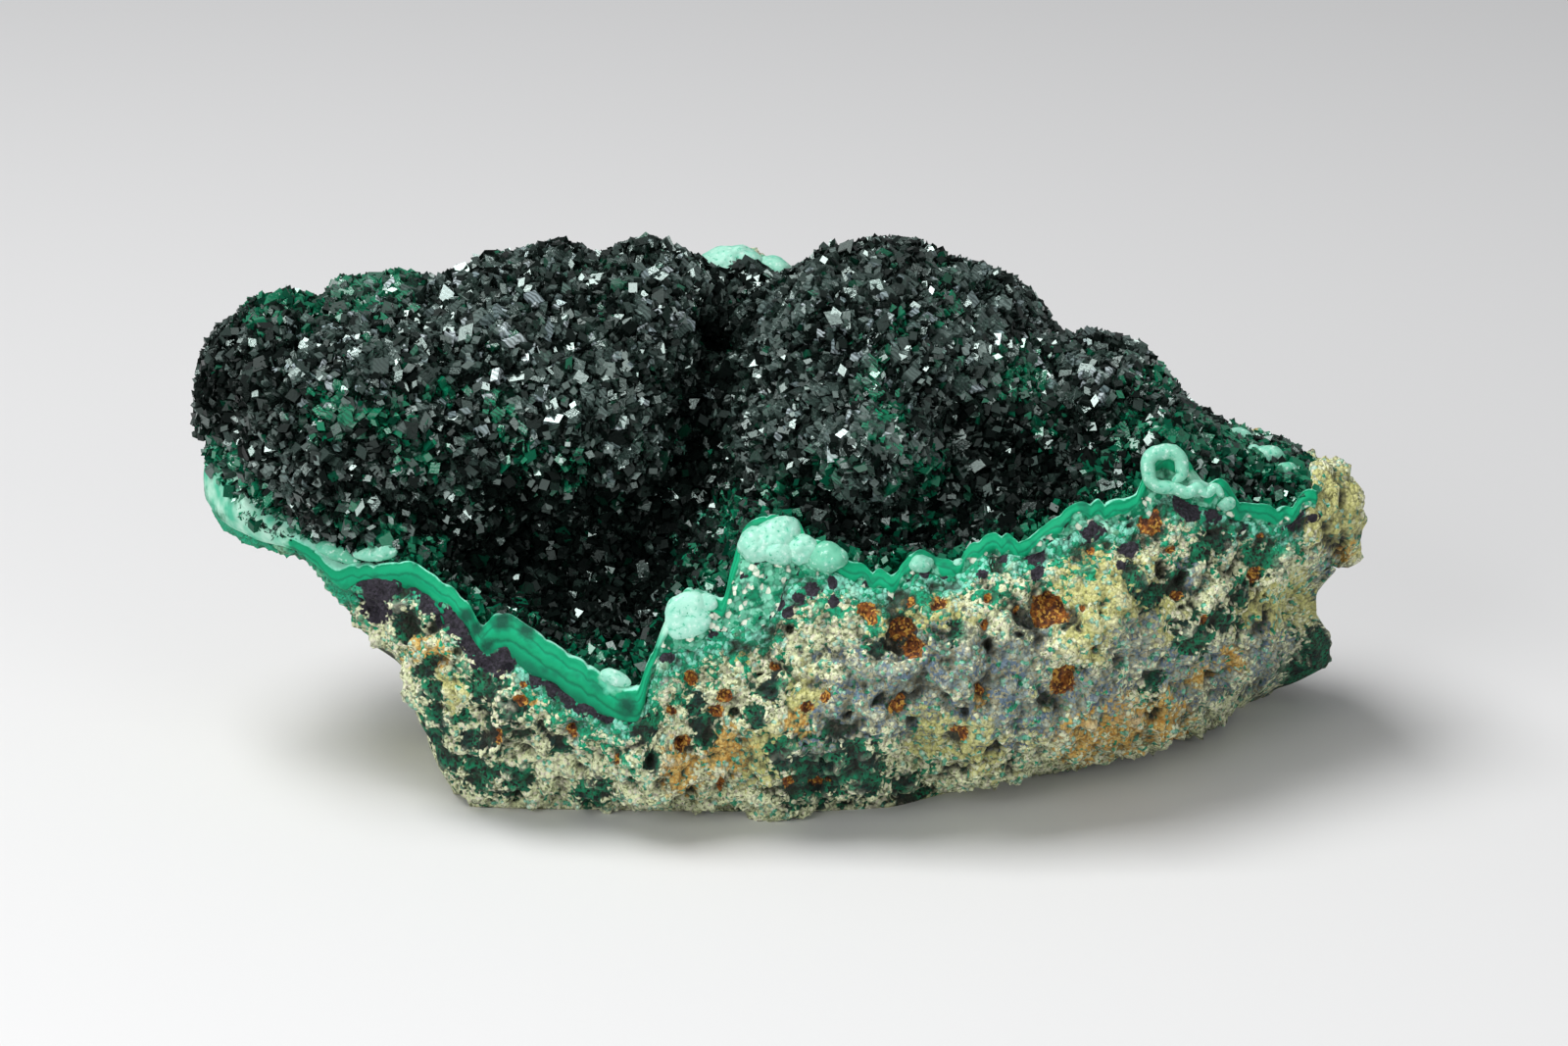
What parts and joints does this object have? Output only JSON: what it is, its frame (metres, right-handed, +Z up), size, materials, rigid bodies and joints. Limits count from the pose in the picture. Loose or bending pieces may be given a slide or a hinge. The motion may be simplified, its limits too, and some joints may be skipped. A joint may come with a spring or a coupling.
{
  "type": "malachite mineral specimen",
  "caption": "Loose mineral specimen: dark drusy crust lining a hollow above a wavy malachite band on granular matrix rock.",
  "frame": {"origin": "on the resting plane, under the middle of the specimen's box", "axes": "+X along the specimen's length to its right end, +Y to its back, +Z up"},
  "size_m": [0.1192, 0.055, 0.0543],
  "materials": {
    "granular_matrix": "rough",
    "banded_malachite": "satin",
    "drusy_crystals": "sparkling"
  },
  "bodies": {
    "root": {"matrix_rock": "granular_matrix", "malachite_band": "banded_malachite", "drusy_crust": "drusy_crystals"}
  },
  "joints": []
}
